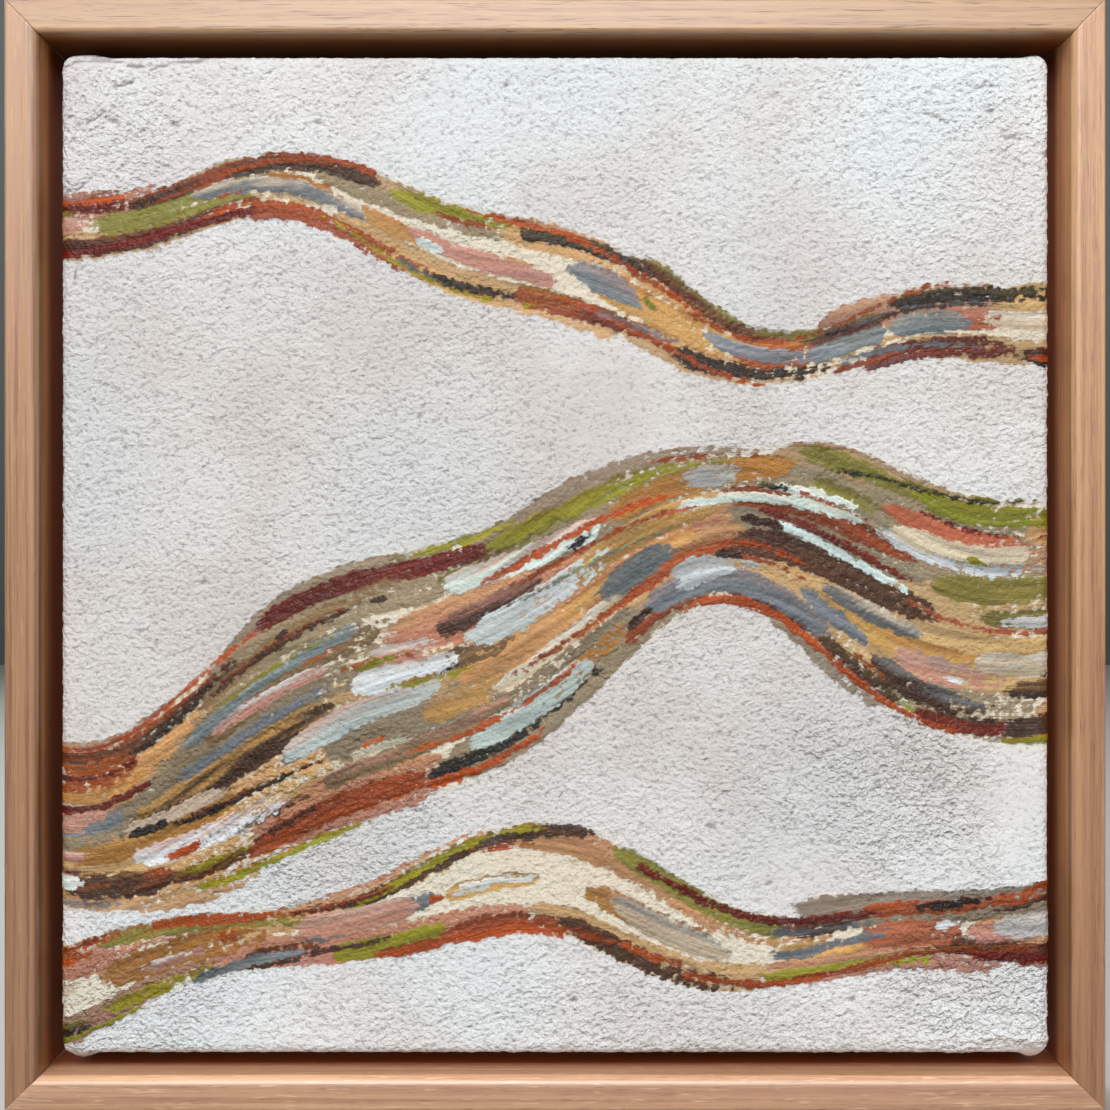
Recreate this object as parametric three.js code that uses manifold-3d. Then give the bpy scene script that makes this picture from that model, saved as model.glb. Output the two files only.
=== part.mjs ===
// A stretched canvas in a pale oak floater frame, ready to hang, in millimetres with +Z up.
// The picture faces -Y. The origin lies on the back of the frame's top rail, where a wall holds it.
// Each rail and bar is first made lying along X with its outer edge at z = 0 and the middle of
// the picture towards +Z, and is then turned about Y to its side of the frame.

import * as THREE from 'three';
import { mergeVertices } from 'three/addons/utils/BufferGeometryUtils.js';
import Module from 'manifold-3d';

const wasm = await Module();
wasm.setup();

// The floater frame: an outer wall, and a ledge behind the canvas
const FRAME_WIDTH = 332;
const FRAME_HEIGHT = 335;
const FRAME_DEPTH = 33;
const WALL_THICKNESS = 10;
const LEDGE_THICKNESS = 6;
const RAIL_BREADTH = 32;
const INNER_ARRIS = 2.25;
const OUTER_ARRIS = 0.75;

// The stretched canvas, which sits on the ledge below the frame's face
const CANVAS_WIDTH = 300;
const CANVAS_HEIGHT = 303;
const CANVAS_CORNER = 3;
const CANVAS_RECESS = 5;
const GROUND_THICKNESS = 1;
const CLOTH_THICKNESS = 0.5;
const HEM_BREADTH = 28;

// The stretcher bars under the cloth
const BAR_BREADTH = 38;
const BEAD_BREADTH = 4;
const BEAD_DROP = 2;
const BAR_SLOPE_DROP = 3.5;
const BAR_CORNER = 3.5;

// The wedges that tighten the stretcher's corners
const KEY_THICKNESS = 3;
const KEY_LENGTH = 26;
const KEY_WIDE_END = 11;
const KEY_NARROW_END = 6;
const KEY_SUNK = 13;
const KEY_DEPTHS = [-12, -18];

// The screws that hold the canvas to the ledge, two to a side
const SCREW_SPACING = 180;
const SCREW_HEAD_RADIUS = 3.4;
const SCREW_SHANK_RADIUS = 1.6;
const SCREW_HEAD_DEPTH = 2.2;
const SCREW_LENGTH = 16;
const SCREW_SUNK = 0.2;
const SCREW_FROM_EDGE = 26;

// The staples on the hem
const STAPLES_PER_SIDE = 3;
const STAPLE_SPACING = 84;
const STAPLE_CROWN = 10;
const STAPLE_LEG = 6;
const STAPLE_WIRE = 1;
const STAPLE_THICKNESS = 0.6;
const STAPLE_FROM_EDGE = 38;

// The two hangers on the side rails: a folded strap, a D-shaped ring and a screw
const HANGER_BELOW_TOP = 84;
const STRAP_WIDTH = 9;
const STRAP_THICKNESS = 2;
const STRAP_START = 1.5;
const STRAP_SCREW_FROM_EDGE = 5.5;
const STRAP_END_RADIUS = 4;
const ROLL_FROM_EDGE = 20.5;
const ROLL_OUTER_RADIUS = 2.4;
const ROLL_INNER_RADIUS = 1.4;
const RING_WIRE_RADIUS = 1.1;
const RING_HALF_WIDTH = 7;
const RING_CORNER = 1.5;
const RING_SIDE = 3;
const PAN_HEAD_RADIUS = 3.1;
const PAN_HEAD_HEIGHT = 1.8;
const PAN_SHANK_RADIUS = 1.5;
const PAN_SHANK_LENGTH = 14;

// The pads that keep the lower edge off the wall
const BUMPER_RADIUS = 5;
const BUMPER_HEIGHT = 3;
const BUMPER_FROM_EDGE = 12;

const CLEARANCE = 0.3;
const MITRE_SETBACK = 0.2;
const RECESS_WIDTH = 0.9;
const ROUND_SEGMENTS = 16;

// Depths along Y, counted from the back of the frame
const LEDGE_FRONT = -LEDGE_THICKNESS;
const BAR_BACK = LEDGE_FRONT - CLOTH_THICKNESS;
const GROUND_FRONT = CANVAS_RECESS - FRAME_DEPTH;
const GROUND_BACK = GROUND_FRONT + GROUND_THICKNESS;
const BAR_FRONT = GROUND_BACK + CLOTH_THICKNESS;

// Distances in from the frame's outer edge
const BAR_FROM_EDGE = (FRAME_WIDTH - CANVAS_WIDTH) / 2 + CLOTH_THICKNESS;
const BAR_SPAN_WIDTH = CANVAS_WIDTH - 2 * CLOTH_THICKNESS;
const BAR_SPAN_HEIGHT = CANVAS_HEIGHT - 2 * CLOTH_THICKNESS;

const frameWood = new THREE.MeshStandardMaterial({ color: 0xd3a680, roughness: 0.55 });
const barWood = new THREE.MeshStandardMaterial({ color: 0xd9bd8c, roughness: 0.75 });
const keyWood = new THREE.MeshStandardMaterial({ color: 0xe0c9a0, roughness: 0.8 });
const cotton = new THREE.MeshStandardMaterial({ color: 0xe2dacb, roughness: 0.95 });
const groundPaint = new THREE.MeshStandardMaterial({ color: 0xe2dcd6, roughness: 0.75 });
const zincSteel = new THREE.MeshStandardMaterial({ color: 0xb9bcc0, metalness: 1, roughness: 0.35 });
const softRubber = new THREE.MeshStandardMaterial({ color: 0xc9c6c0, roughness: 0.7 });

// The four sides, each with the turn about Y that brings the bottom one there
const SIDES = [
  { name: 'bottom', turn: 0, length: FRAME_WIDTH, offset: [0, -FRAME_HEIGHT / 2] },
  { name: 'left', turn: Math.PI / 2, length: FRAME_HEIGHT, offset: [-FRAME_WIDTH / 2, 0] },
  { name: 'top', turn: Math.PI, length: FRAME_WIDTH, offset: [0, FRAME_HEIGHT / 2] },
  { name: 'right', turn: -Math.PI / 2, length: FRAME_HEIGHT, offset: [FRAME_WIDTH / 2, 0] },
];

// A closed mesh's geometry as a solid for cutting and joining
function solidOf(geometry) {
  const bare = geometry.clone();
  bare.deleteAttribute('normal');
  bare.deleteAttribute('uv');
  const merged = mergeVertices(bare);
  return new wasm.Manifold(new wasm.Mesh({
    numProp: 3,
    vertProperties: merged.attributes.position.array,
    triVerts: new Uint32Array(merged.index.array),
  }));
}

function geometryOf(solid) {
  const { vertProperties, triVerts } = solid.getMesh();
  const geometry = new THREE.BufferGeometry();
  geometry.setAttribute('position', new THREE.BufferAttribute(vertProperties, 3));
  geometry.setIndex(new THREE.BufferAttribute(triVerts, 1));
  return geometry;
}

// The body with each of the tools, given as geometries, cut out of it
function cut(body, tools) {
  const solid = tools.reduce((left, tool) => left.subtract(solidOf(tool)), solidOf(body));
  return geometryOf(solid);
}

function boxBetween(low, high) {
  const size = high.map((value, i) => value - low[i]);
  const middle = high.map((value, i) => (value + low[i]) / 2);
  return new THREE.BoxGeometry(...size).translate(...middle);
}

function roundedRectangle(width, height, radius) {
  const [x, z] = [width / 2 - radius, height / 2 - radius];
  const outline = new THREE.Shape();
  outline.absarc(x, z, radius, 0, Math.PI / 2);
  outline.absarc(-x, z, radius, Math.PI / 2, Math.PI);
  outline.absarc(-x, -z, radius, Math.PI, 1.5 * Math.PI);
  outline.absarc(x, -z, radius, 1.5 * Math.PI, 2 * Math.PI);
  return outline;
}

// A slab whose outline lies in the XZ plane, from one depth towards the front to another
function slab(outline, back, front) {
  const shape = new THREE.ExtrudeGeometry(outline, {
    depth: back - front,
    bevelEnabled: false,
    curveSegments: 6,
  });
  return shape.rotateX(Math.PI / 2).translate(0, back, 0);
}

// A strip along X, from a section drawn as (distance from the outer edge, depth)
function strip(section, length) {
  const shape = new THREE.ExtrudeGeometry(section, {
    depth: length,
    bevelEnabled: false,
    curveSegments: 6,
  });
  return shape.translate(0, 0, -length / 2).rotateY(-Math.PI / 2);
}

// Cuts a strip's two ends to 45 degrees, its longest edge being the outer one
function mitred(geometry, length) {
  const place = geometry.attributes.position;
  for (let i = 0; i < place.count; i += 1) {
    const reach = length / 2 - place.getZ(i) - MITRE_SETBACK;
    place.setX(i, Math.sign(place.getX(i)) * reach);
  }
  return geometry;
}

function sectionFrom(points) {
  return new THREE.Shape(points.map(([inward, depth]) => new THREE.Vector2(inward, depth)));
}

// A turned piece with its axis along Y, from points given as [radius, depth]
function turned(points, segments = ROUND_SEGMENTS) {
  return new THREE.LatheGeometry(points.map(([r, y]) => new THREE.Vector2(r, y)), segments);
}

function railSection() {
  const face = -FRAME_DEPTH;
  const section = new THREE.Shape();
  section.moveTo(0, 0);
  section.lineTo(RAIL_BREADTH, 0);
  section.lineTo(RAIL_BREADTH, LEDGE_FRONT);
  section.lineTo(WALL_THICKNESS, LEDGE_FRONT);
  section.absarc(WALL_THICKNESS - INNER_ARRIS, face + INNER_ARRIS, INNER_ARRIS, 0, -Math.PI / 2, true);
  section.absarc(OUTER_ARRIS, face + OUTER_ARRIS, OUTER_ARRIS, -Math.PI / 2, -Math.PI, true);
  return section;
}

// The screw that holds the canvas, or with more than no clearance the hole that it needs
function countersunkScrew(clearance) {
  const head = SCREW_HEAD_RADIUS + clearance;
  const shank = SCREW_SHANK_RADIUS + clearance;
  const top = clearance > 0 ? 1 : -SCREW_SUNK;
  const seat = -SCREW_SUNK;
  const tip = -SCREW_LENGTH - clearance;
  const points = [[0, tip], [shank, tip + 3], [shank, seat - SCREW_HEAD_DEPTH], [head, seat]];
  if (clearance > 0) {
    points.push([head, top]);
  }
  return turned([...points, [0, top]]);
}

function panScrew(clearance) {
  const shank = PAN_SHANK_RADIUS + clearance;
  const tip = STRAP_THICKNESS - PAN_SHANK_LENGTH - clearance;
  if (clearance > 0) {
    return turned([[0, tip], [shank, tip + 3], [shank, STRAP_THICKNESS + 1], [0, STRAP_THICKNESS + 1]]);
  }
  const dome = [0, 30, 60, 90].map((degrees) => {
    const angle = THREE.MathUtils.degToRad(degrees);
    const rise = 0.6 + (PAN_HEAD_HEIGHT - 0.6) * Math.sin(angle);
    return [PAN_HEAD_RADIUS * (0.35 + 0.65 * Math.cos(angle)), STRAP_THICKNESS + rise];
  });
  return turned([
    [0, tip], [shank, tip + 3], [shank, STRAP_THICKNESS], [PAN_HEAD_RADIUS, STRAP_THICKNESS],
    ...dome, [0, STRAP_THICKNESS + PAN_HEAD_HEIGHT],
  ]);
}

// A cross-shaped recess for a screwdriver, cut into a head whose top is at the given depth
function crossRecess(top, halfLength, depth) {
  const half = RECESS_WIDTH / 2;
  return [
    boxBetween([-halfLength, top - depth, -half], [halfLength, top + 1, half]),
    boxBetween([-half, top - depth, -halfLength], [half, top + 1, halfLength]),
  ];
}

// Where the two screws of a side lie, in the strip's own frame
function screwPlaces() {
  return [-1, 1].map((way) => [way * SCREW_SPACING / 2, SCREW_FROM_EDGE]);
}

function staplePlaces() {
  return Array.from({ length: STAPLES_PER_SIDE }, (_, i) => [
    (i - (STAPLES_PER_SIDE - 1) / 2) * STAPLE_SPACING,
    STAPLE_FROM_EDGE,
  ]);
}

// The slots that a staple's two legs need in the hem and the bar
function stapleSlots([x, z]) {
  return [-1, 1].map((way) => {
    const leg = x + way * (STAPLE_CROWN - STAPLE_THICKNESS) / 2;
    const [halfX, halfZ] = [STAPLE_THICKNESS / 2 + CLEARANCE, STAPLE_WIRE / 2 + CLEARANCE];
    const bottom = LEDGE_FRONT - STAPLE_LEG - CLEARANCE;
    return boxBetween([leg - halfX, bottom, z - halfZ], [leg + halfX, LEDGE_FRONT + 1, z + halfZ]);
  });
}

function staple() {
  const [half, leg, thick] = [STAPLE_CROWN / 2, STAPLE_LEG, STAPLE_THICKNESS];
  const outline = sectionFrom([
    [-half, thick], [-half, -leg], [-half + thick, -leg], [-half + thick, 0],
    [half - thick, 0], [half - thick, -leg], [half, -leg], [half, thick],
  ]);
  const shape = new THREE.ExtrudeGeometry(outline, { depth: STAPLE_WIRE, bevelEnabled: false });
  return shape.translate(0, LEDGE_FRONT, -STAPLE_WIRE / 2);
}

// How far along a side rail a hanger's middle lies, counted up from the middle of the rail
const HANGER_RISE = FRAME_HEIGHT / 2 - HANGER_BELOW_TOP;

function frameRail(side) {
  const rail = mitred(strip(railSection(), side.length), side.length);
  const holes = screwPlaces().map(([x, z]) => countersunkScrew(CLEARANCE).translate(x, 0, z));
  if (side.name === 'left' || side.name === 'right') {
    const along = side.name === 'left' ? -HANGER_RISE : HANGER_RISE;
    holes.push(panScrew(CLEARANCE).translate(along, 0, STRAP_SCREW_FROM_EDGE));
  }
  return cut(rail, holes);
}

// The wedge as an outline: one straight edge lies along the neighbouring bar
function keyOutline(clearance) {
  const sunk = -KEY_SUNK - clearance;
  return [
    [sunk, -clearance], [KEY_LENGTH - KEY_SUNK, -clearance],
    [KEY_LENGTH - KEY_SUNK, KEY_WIDE_END + clearance], [sunk, KEY_NARROW_END + clearance],
  ];
}

// A key at one of the four inner corners. The one that is sunk in an upright bar lies along X.
function cornerKey(wayX, wayZ, depth, sunkIn, clearance) {
  const cornerX = BAR_SPAN_WIDTH / 2 - BAR_BREADTH;
  const cornerZ = BAR_SPAN_HEIGHT / 2 - BAR_BREADTH;
  const points = keyOutline(clearance).map(([sinking, across]) => {
    const out = across + CLEARANCE;
    const [x, z] = sunkIn === 'upright' ? [sinking, out] : [out, sinking];
    return [wayX * (cornerX - x), wayZ * (cornerZ - z)];
  });
  const half = KEY_THICKNESS / 2 + clearance;
  return slab(sectionFrom(points), depth + half, depth - half);
}

const KEYS = [-1, 1].flatMap((wayX) => [-1, 1].flatMap((wayZ) => ['upright', 'level'].map((sunkIn, i) => ({
  name: `corner_key_${wayZ > 0 ? 'top' : 'bottom'}_${wayX > 0 ? 'right' : 'left'}_${sunkIn}`,
  make: (clearance) => cornerKey(wayX, wayZ, KEY_DEPTHS[i], sunkIn, clearance),
}))));

function barSection() {
  return sectionFrom([
    [0, BAR_BACK], [BAR_BREADTH, BAR_BACK], [BAR_BREADTH, BAR_FRONT + BAR_SLOPE_DROP],
    [BEAD_BREADTH + BEAD_DROP, BAR_FRONT + BEAD_DROP], [BEAD_BREADTH, BAR_FRONT],
    [1, BAR_FRONT], [0, BAR_FRONT + 1],
  ]);
}

// A bar, already turned to its side, with room for keys, screws and staples cut out of it
function stretcherBar(side) {
  const span = side.length === FRAME_WIDTH ? BAR_SPAN_WIDTH : BAR_SPAN_HEIGHT;
  const bar = mitred(strip(barSection(), span), span).translate(0, 0, BAR_FROM_EDGE);
  const fixings = [
    ...screwPlaces().map(([x, z]) => countersunkScrew(CLEARANCE).translate(x, 0, z)),
    ...staplePlaces().flatMap(stapleSlots),
  ];
  const turnedBar = cut(bar, fixings).rotateY(side.turn).translate(side.offset[0], 0, side.offset[1]);
  const keyed = cut(turnedBar, KEYS.map((key) => key.make(CLEARANCE)));
  const outline = roundedRectangle(BAR_SPAN_WIDTH, BAR_SPAN_HEIGHT, BAR_CORNER);
  const within = slab(outline, BAR_BACK + 1, BAR_FRONT - 1);
  return geometryOf(solidOf(keyed).intersect(solidOf(within)));
}

// The cloth: front, sides and the hem that is turned in behind the bars
function canvasCloth() {
  const outer = slab(roundedRectangle(CANVAS_WIDTH, CANVAS_HEIGHT, CANVAS_CORNER), LEDGE_FRONT, GROUND_BACK);
  const insideCorner = CANVAS_CORNER - CLOTH_THICKNESS;
  const inside = slab(roundedRectangle(BAR_SPAN_WIDTH, BAR_SPAN_HEIGHT, insideCorner), BAR_BACK, BAR_FRONT);
  const [openX, openZ] = [CANVAS_WIDTH / 2 - HEM_BREADTH, CANVAS_HEIGHT / 2 - HEM_BREADTH];
  const opening = boxBetween([-openX, BAR_FRONT / 2, -openZ], [openX, 1, openZ]);
  const fixings = SIDES.flatMap((side) => [
    ...screwPlaces().map(([x, z]) => countersunkScrew(CLEARANCE).translate(x, 0, z)),
    ...staplePlaces().flatMap(stapleSlots),
  ].map((hole) => hole.rotateY(side.turn).translate(side.offset[0], 0, side.offset[1])));
  return cut(outer, [inside, opening, ...fixings]);
}

function paintedGround() {
  return slab(roundedRectangle(CANVAS_WIDTH, CANVAS_HEIGHT, CANVAS_CORNER), GROUND_BACK, GROUND_FRONT);
}

// The strap is folded round the ring's straight side, and both its layers lie on the rail
function hangerStrap() {
  const section = new THREE.Shape();
  section.moveTo(STRAP_START, 0);
  section.lineTo(ROLL_FROM_EDGE, 0);
  section.absarc(ROLL_FROM_EDGE, ROLL_OUTER_RADIUS, ROLL_OUTER_RADIUS, -Math.PI / 2, 0.6 * Math.PI);
  section.lineTo(ROLL_FROM_EDGE - 2 * ROLL_OUTER_RADIUS, STRAP_THICKNESS);
  section.lineTo(STRAP_START, STRAP_THICKNESS);
  const eye = new THREE.Path();
  eye.absarc(ROLL_FROM_EDGE, ROLL_OUTER_RADIUS, ROLL_INNER_RADIUS, 0, 2 * Math.PI, true);
  section.holes.push(eye);
  const folded = solidOf(strip(section, STRAP_WIDTH));
  const length = ROLL_FROM_EDGE + 2 * ROLL_OUTER_RADIUS + STRAP_END_RADIUS - STRAP_START;
  const plan = slab(roundedRectangle(STRAP_WIDTH, length, STRAP_END_RADIUS), 2 * ROLL_OUTER_RADIUS + 1, -1);
  plan.translate(0, 0, STRAP_START + length / 2);
  const hole = panScrew(CLEARANCE).translate(0, 0, STRAP_SCREW_FROM_EDGE);
  return geometryOf(folded.intersect(solidOf(plan)).subtract(solidOf(hole)));
}

// The ring's centreline: the straight side in the strap's roll, short sides and a half circle
function hangerRing() {
  const [half, corner] = [RING_HALF_WIDTH, RING_CORNER];
  const outline = new THREE.Path();
  outline.moveTo(0, 0);
  outline.lineTo(half - corner, 0);
  outline.absarc(half - corner, corner, corner, -Math.PI / 2, 0);
  outline.absarc(0, corner + RING_SIDE, half, 0, Math.PI);
  outline.absarc(corner - half, corner, corner, -Math.PI, -Math.PI / 2);
  outline.lineTo(0, 0);
  const points = outline.getSpacedPoints(44).slice(0, -1);
  const line = points.map((p) => new THREE.Vector3(p.x, ROLL_OUTER_RADIUS, ROLL_FROM_EDGE + p.y));
  const curve = new THREE.CatmullRomCurve3(line, true);
  return new THREE.TubeGeometry(curve, 60, RING_WIRE_RADIUS, 8, true);
}

function bumper() {
  const [r, h] = [BUMPER_RADIUS, BUMPER_HEIGHT];
  return turned([[0, 0], [r, 0], [r, 0.4 * h], [0.86 * r, 0.78 * h], [0.5 * r, 0.96 * h], [0, h]]);
}

// Adds a piece under its name to a group
function add(group, name, geometry, material, place = [0, 0, 0]) {
  const piece = new THREE.Mesh(geometry, material);
  piece.name = name;
  piece.position.set(...place);
  group.add(piece);
}

const picture = new THREE.Group();
picture.position.z = RAIL_BREADTH / 2 - FRAME_HEIGHT / 2;

// The pieces that are made in the bottom rail's place and turned to each side
for (const side of SIDES) {
  const group = new THREE.Group();
  group.rotation.y = side.turn;
  group.position.set(side.offset[0], 0, side.offset[1]);
  picture.add(group);
  add(group, `frame_rail_${side.name}`, frameRail(side), frameWood);
  const screw = cut(countersunkScrew(0), crossRecess(-SCREW_SUNK, 1.8, 1.4));
  screwPlaces().forEach(([x, z], i) => {
    add(group, `canvas_screw_${side.name}_${i + 1}`, screw, zincSteel, [x, 0, z]);
  });
  staplePlaces().forEach(([x, z], i) => {
    add(group, `staple_${side.name}_${i + 1}`, staple(), zincSteel, [x, 0, z]);
  });
  add(picture, `stretcher_bar_${side.name}`, stretcherBar(side), barWood);
  if (side.name === 'left' || side.name === 'right') {
    const along = side.name === 'left' ? -HANGER_RISE : HANGER_RISE;
    const head = crossRecess(STRAP_THICKNESS + PAN_HEAD_HEIGHT, 1.6, 1.1);
    add(group, `hanger_strap_${side.name}`, hangerStrap(), zincSteel, [along, 0, 0]);
    add(group, `hanger_ring_${side.name}`, hangerRing(), zincSteel, [along, 0, 0]);
    add(group, `hanger_screw_${side.name}`, cut(panScrew(0), head), zincSteel, [
      along, 0, STRAP_SCREW_FROM_EDGE,
    ]);
  }
}

for (const key of KEYS) {
  add(picture, key.name, key.make(0), keyWood);
}
for (const way of [-1, 1]) {
  add(picture, `bumper_${way < 0 ? 'left' : 'right'}`, bumper(), softRubber, [
    way * (FRAME_WIDTH / 2 - BUMPER_FROM_EDGE), 0, BUMPER_FROM_EDGE - FRAME_HEIGHT / 2,
  ]);
}
add(picture, 'canvas_cloth', canvasCloth(), cotton);
add(picture, 'painted_ground', paintedGround(), groundPaint);

const part = new THREE.Group();
part.add(picture);

export default part;
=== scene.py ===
"""A stretched canvas in a pale oak floater frame, dressed over its CAD frame.

Pieces are worked out in millimetres about the picture's middle, with x across, z up and y into the wall,
and go into the row frame in metres when their meshes are made.
"""

import math
from collections import namedtuple

import bmesh
import bpy
import numpy as np
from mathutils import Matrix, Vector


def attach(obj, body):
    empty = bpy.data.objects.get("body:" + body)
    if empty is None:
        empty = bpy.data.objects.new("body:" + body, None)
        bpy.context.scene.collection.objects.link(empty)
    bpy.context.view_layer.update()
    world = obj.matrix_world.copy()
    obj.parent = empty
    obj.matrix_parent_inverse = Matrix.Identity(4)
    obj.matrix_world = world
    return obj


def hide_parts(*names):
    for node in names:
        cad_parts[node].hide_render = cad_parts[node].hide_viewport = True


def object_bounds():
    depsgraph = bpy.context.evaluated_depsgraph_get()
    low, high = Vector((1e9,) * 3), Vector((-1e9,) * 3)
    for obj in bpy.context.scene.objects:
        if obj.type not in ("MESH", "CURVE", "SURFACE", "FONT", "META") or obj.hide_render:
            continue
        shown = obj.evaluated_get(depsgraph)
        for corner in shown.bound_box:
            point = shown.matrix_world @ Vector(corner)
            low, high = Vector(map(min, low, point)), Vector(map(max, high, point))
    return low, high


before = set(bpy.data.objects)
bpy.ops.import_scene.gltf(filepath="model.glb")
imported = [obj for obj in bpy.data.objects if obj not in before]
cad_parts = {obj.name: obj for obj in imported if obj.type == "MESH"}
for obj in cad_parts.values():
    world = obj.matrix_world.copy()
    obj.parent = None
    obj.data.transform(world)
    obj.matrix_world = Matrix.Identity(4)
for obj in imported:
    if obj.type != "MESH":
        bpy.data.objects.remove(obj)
cad_low, cad_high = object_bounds()

MM = 0.001
MIDDLE_Z = -151.5

# The frame's rails
FRAME_WIDTH = 332.0
FRAME_HEIGHT = 335.0
FACE_Y = -33.0
WALL_THICKNESS = 10.0
LEDGE_BREADTH = 32.0
LEDGE_Y = -6.0
OUTER_ARRIS = 0.75
SMALL_ARRIS = 0.4
MITRE_SETBACK = 0.04
MITRE_EASING = 0.3
MITRE_DROP = 0.12
SUPPORT = 0.15

# The canvas, whose outside is that of the cloth
CANVAS_WIDTH = 300.0
CANVAS_HEIGHT = 303.0
CANVAS_CORNER = 2.6
CLOTH_FRONT_Y = -27.0
CLOTH_BACK_Y = -6.05
CLOTH_THICKNESS = 0.45
CLOTH_FRONT_ROUND = 2.4
CLOTH_BACK_ROUND = 1.2
CLOTH_SPACING = 3.0
HEM_BREADTH = 28.0
HEM_CORNER = 0.8

# The stretcher's bars
BAR_GAP = 0.5
BAR_BREADTH = 38.0
BAR_FRONT_Y = -26.5
BAR_BACK_Y = -6.55
BAR_ROUND = 1.9
BEAD_BREADTH = 4.0
BEAD_DROP = 2.0
BEAD_FOOT = 0.6
BAR_SLOPE_DROP = 3.5
BAR_CORNER_CUT = 1.5

# The painted ground
GROUND_SPACING_ACROSS = 1.15
GROUND_SPACING_UP = 0.95
PASTE_THICKNESS = 0.85
PASTE_LEAST = 0.15
PASTE_RIM = 0.12
GROUND_LEAST = 0.1
GROUND_BACK = 0.02
GROUND_SKIRT = 6.0
STIPPLE_TILTS = (math.radians(26), math.radians(-10))

SIDES = {"bottom": 0, "right": 1, "top": 2, "left": 3}

# The seats of the screws that hold the canvas: how far they lie apart along a side and from its outer edge
SCREW_SPACING = 180.0
SCREW_FROM_EDGE = 26.0
SEAT_RADIUS = 3.5
SEAT_LIP = 0.2
SEAT_DEPTH = 2.5
SEAT_FOOT_RADIUS = 1.65
SEAT_CUT_PAST = 1.0
SEAT_FACETS = 40

# How far each rail's inner arris is rounded
INNER_ARRISES = {"bottom": 3.1, "right": 2.25, "top": 1.4, "left": 2.25}

# The angle in degrees past which an edge stays sharp, and what keeps a division away from zero
SHARP_ANGLE = 32
TINY = 1e-9


# Meshes

def turned(x, z, turns):
    """Points turned by quarter turns, anticlockwise as the viewer sees them."""
    for _ in range(turns):
        x, z = -z, x
    return x, z


def rows_of(x, y, z):
    """Points in the row frame, in metres, from millimetres about the picture's middle."""
    return np.stack([x * MM, y * MM, (z + MIDDLE_Z) * MM], axis=-1).reshape(-1, 3)


def closed_mesh(name, points, faces):
    """A mesh whose faces all look outwards."""
    mesh = bpy.data.meshes.new(name)
    mesh.from_pydata(points.tolist(), [], [list(map(int, face)) for face in faces])
    shape = bmesh.new()
    shape.from_mesh(mesh)
    bmesh.ops.recalc_face_normals(shape, faces=shape.faces)
    shape.to_mesh(mesh)
    shape.free()
    return mesh


def placed(name, data):
    """A new object in the scene."""
    made = bpy.data.objects.new(name, data)
    bpy.context.scene.collection.objects.link(made)
    return made


def piece(name, points, faces, materials, sharp=SHARP_ANGLE):
    """A mesh piece that rides on the frame, smooth except where its faces meet at more than an angle."""
    mesh = closed_mesh(name, points, faces)
    for material in materials:
        mesh.materials.append(material)
    mesh.polygons.foreach_set("use_smooth", np.ones(len(mesh.polygons), bool))
    mesh.set_sharp_from_angle(angle=math.radians(sharp))
    made = placed(name, mesh)
    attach(made, "frame")
    return made


def add_layer(made, name, values, kind="FLOAT", key="value", spare=0):
    """Gives a piece's points their values, and zeros for the spare ones at the end."""
    layer = made.data.attributes.new(name, kind, "POINT")
    layer.data.foreach_set(key, np.append(values, np.zeros(spare)).astype(np.float32))


def band_faces(first, second):
    """Quads between two closed rows of points that match one to one."""
    return np.stack([first, np.roll(first, -1), np.roll(second, -1), second], axis=1)


def tube_faces(rings, count):
    """Faces of a tube of closed rings with as many points each, and a cap at both ends."""
    places = np.arange(rings * count).reshape(rings, count)
    faces = [places[0], places[-1]]
    for here, ahead in zip(places, places[1:]):
        faces.extend(band_faces(here, ahead))
    return faces


def rounded(x, y, radius, start, steps, sweep=90):
    """Points of the arc that rounds a section's corner, from the angle in degrees that it starts at."""
    x += radius if start in (90, 180) else -radius
    y += radius if start in (180, 270) else -radius
    angles = np.radians(np.linspace(start, start + sweep, steps + 1))
    return [(x + radius * math.cos(angle), y + radius * math.sin(angle)) for angle in angles]


def drawn_in(section, amount):
    """A closed section's points moved inwards by an amount."""
    points = np.array(section)
    ahead = np.roll(points, -1, axis=0) - points
    ahead /= np.linalg.norm(ahead, axis=1)[:, None]
    behind = np.roll(ahead, 1, axis=0)
    inward = np.stack([-(ahead + behind)[:, 1], (ahead + behind)[:, 0]], axis=1)
    inward /= np.linalg.norm(inward, axis=1)[:, None]
    area = np.sum(points[:, 0] * np.roll(points[:, 1], -1) - np.roll(points[:, 0], -1) * points[:, 1])
    return points + inward * amount * np.sign(area)


def supported(section):
    """A closed section with points added near both ends of its long edges, which keep those faces flat."""
    points = []
    for here, ahead in zip(section, section[1:] + section[:1]):
        length = math.dist(here, ahead)
        points.append(here)
        if length > 8 * SUPPORT:
            for run in (SUPPORT, length - SUPPORT):
                points.append(tuple(a + (b - a) * run / length for a, b in zip(here, ahead)))
    return points


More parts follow.
